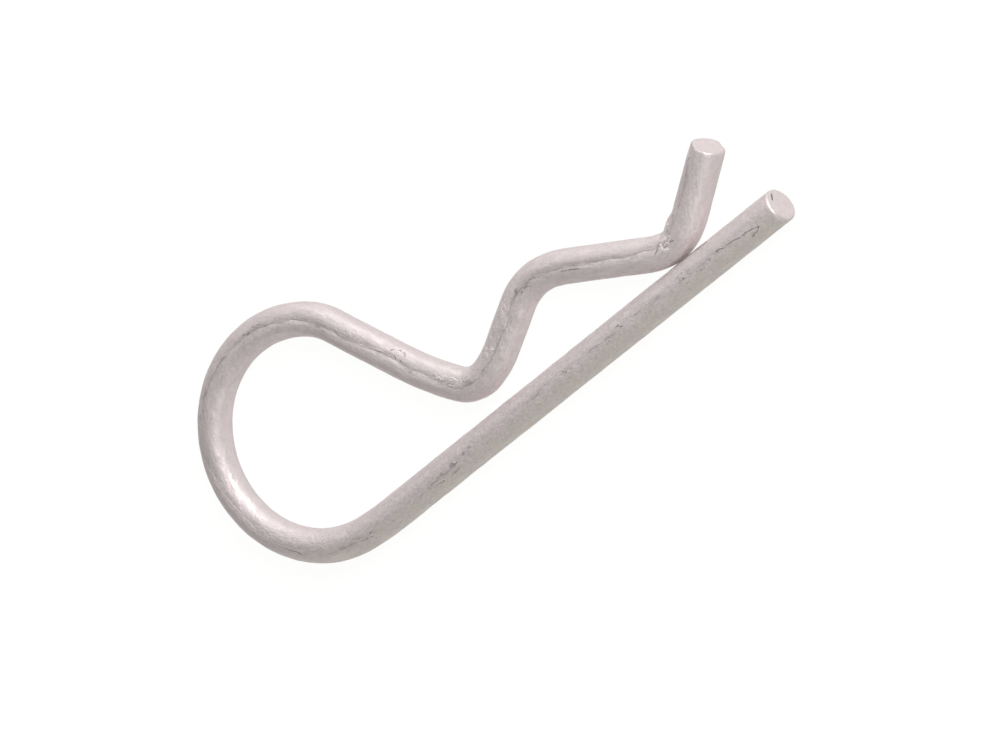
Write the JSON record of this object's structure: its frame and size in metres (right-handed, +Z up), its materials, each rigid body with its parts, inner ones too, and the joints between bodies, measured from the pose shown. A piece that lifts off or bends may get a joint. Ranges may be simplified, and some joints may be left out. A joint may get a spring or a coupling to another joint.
{
  "type": "hitch R-clip pin",
  "caption": "Bent spring-wire retaining clip with a straight leg, a round loop and a waved leg that grips a hitch pin.",
  "frame": {"origin": "under the middle of the clip's outline, at the height of the surface that it lies on", "axes": "+X along the straight leg towards its cut end, +Y across the clip from the straight leg towards the shaped leg, +Z up out of the plane that the wire is bent in"},
  "size_m": [0.08, 0.0302, 0.004],
  "materials": {
    "zinc_plated_steel": "matt galvanised zinc on spring steel, finely mottled, with drawn streaks and small dark scratches"
  },
  "bodies": {
    "root": {"clip_wire": "zinc_plated_steel"}
  },
  "joints": []
}
